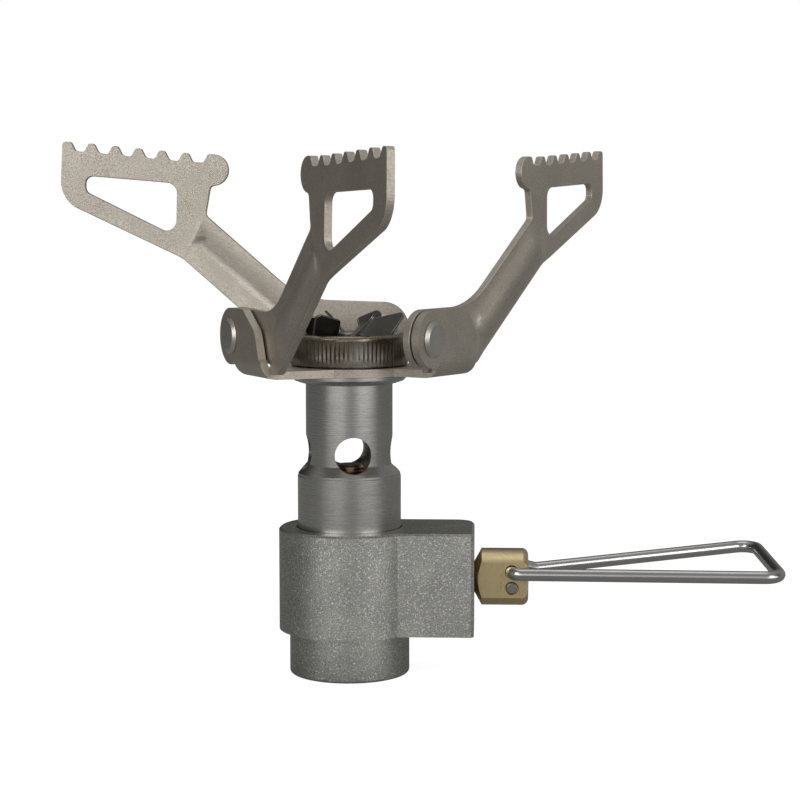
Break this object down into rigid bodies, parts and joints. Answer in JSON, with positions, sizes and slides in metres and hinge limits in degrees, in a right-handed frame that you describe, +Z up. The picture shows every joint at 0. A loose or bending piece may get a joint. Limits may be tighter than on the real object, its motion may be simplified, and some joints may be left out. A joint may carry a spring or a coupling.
{
  "type": "camping stove",
  "caption": "Canister-top micro gas stove: threaded valve body, mixing tube, knurled burner, fold-over toothed pot supports on riveted ears and a wire flame-control handle.",
  "frame": {"origin": "centre of the base collar's bottom face, on the axis of the canister thread", "axes": "+Z up along the mixing tube, +X towards the flame-control handle, +Y away from the valve's flat front face"},
  "size_m": [0.1175, 0.0877, 0.0846],
  "materials": {
    "valve_body": "bead blasted, dark anodised grey",
    "pin_holder": "turned",
    "depressor_pin": "turned",
    "inlet_filter": "sintered",
    "canister_o_ring": "matte",
    "valve_spindle": "turned and milled",
    "stem_o_ring": "matte",
    "spindle_retaining_ring": "plain",
    "spindle_cross_pin": "plain",
    "wire_handle": "bright drawn wire",
    "jet": "turned",
    "jet_washer": "plain",
    "mixing_tube": "satin turned",
    "support_plate": "bead blasted titanium",
    "burner_cup": "plain",
    "burner_ring": "knurled, heat tinted",
    "flame_screen": "perforated",
    "flame_spreader": "polished stamping",
    "spreader_rivet": "plain",
    "pot_support_left": "bead blasted titanium",
    "pivot_washer_left": "plain",
    "pivot_rivet_left": "satin",
    "pot_support_front": "bead blasted titanium",
    "pivot_washer_front": "plain",
    "pivot_rivet_front": "satin",
    "pot_support_right": "bead blasted titanium",
    "pivot_washer_right": "plain",
    "pivot_rivet_right": "satin"
  },
  "bodies": {
    "frame": {"valve_body": "valve_body", "pin_holder": "pin_holder", "depressor_pin": "depressor_pin", "inlet_filter": "inlet_filter", "canister_o_ring": "canister_o_ring", "spindle_retaining_ring": "spindle_retaining_ring", "jet": "jet", "jet_washer": "jet_washer", "mixing_tube": "mixing_tube", "support_plate": "support_plate", "burner_cup": "burner_cup", "burner_ring": "burner_ring", "flame_screen": "flame_screen", "flame_spreader": "flame_spreader", "spreader_rivet": "spreader_rivet", "pivot_washer_left": "pivot_washer_left", "pivot_rivet_left": "pivot_rivet_left", "pivot_washer_front": "pivot_washer_front", "pivot_rivet_front": "pivot_rivet_front", "pivot_washer_right": "pivot_washer_right", "pivot_rivet_right": "pivot_rivet_right"},
    "support_left": {"pot_support_left": "pot_support_left"},
    "support_front": {"pot_support_front": "pot_support_front"},
    "support_right": {"pot_support_right": "pot_support_right"},
    "stem_seal": {"stem_o_ring": "stem_o_ring"},
    "spindle": {"valve_spindle": "valve_spindle", "spindle_cross_pin": "spindle_cross_pin"},
    "handle": {"wire_handle": "wire_handle"}
  },
  "joints": [
    {"name": "fold_left", "type": "hinge", "parent": "frame", "child": "support_left", "pos_m": [0.00429, 0.01621, 0.0537], "axis": [0.0209, 0.9998, 0], "range_deg": [0, 225]},
    {"name": "fold_front", "type": "hinge", "parent": "frame", "child": "support_front", "pos_m": [-0.01619, -0.00439, 0.0537], "axis": [-0.8763, -0.4818, 0], "range_deg": [0, 225]},
    {"name": "fold_right", "type": "hinge", "parent": "frame", "child": "support_right", "pos_m": [0.0119, -0.01182, 0.0537], "axis": [0.8554, -0.518, 0], "range_deg": [0, 225]},
    {"name": "spindle_travel", "type": "slide", "parent": "frame", "child": "stem_seal", "axis": [1, 0, 0], "range_m": [0, 0.001]},
    {"name": "spindle_turn", "type": "hinge", "parent": "stem_seal", "child": "spindle", "pos_m": [0.0257, 0, 0.0154], "axis": [1, 0, 0], "range_deg": [0, 720]},
    {"name": "handle_fold", "type": "hinge", "parent": "spindle", "child": "handle", "pos_m": [0.0257, 0, 0.0167], "axis": [0, -1, 0], "range_deg": [-90, 85]}
  ],
  "couplings": [
    {"joint": "fold_front", "follows": "fold_left", "ratio": 1},
    {"joint": "fold_right", "follows": "fold_left", "ratio": 1},
    {"joint": "spindle_travel", "follows": "spindle_turn", "m_per_rad": 0.00007957}
  ]
}
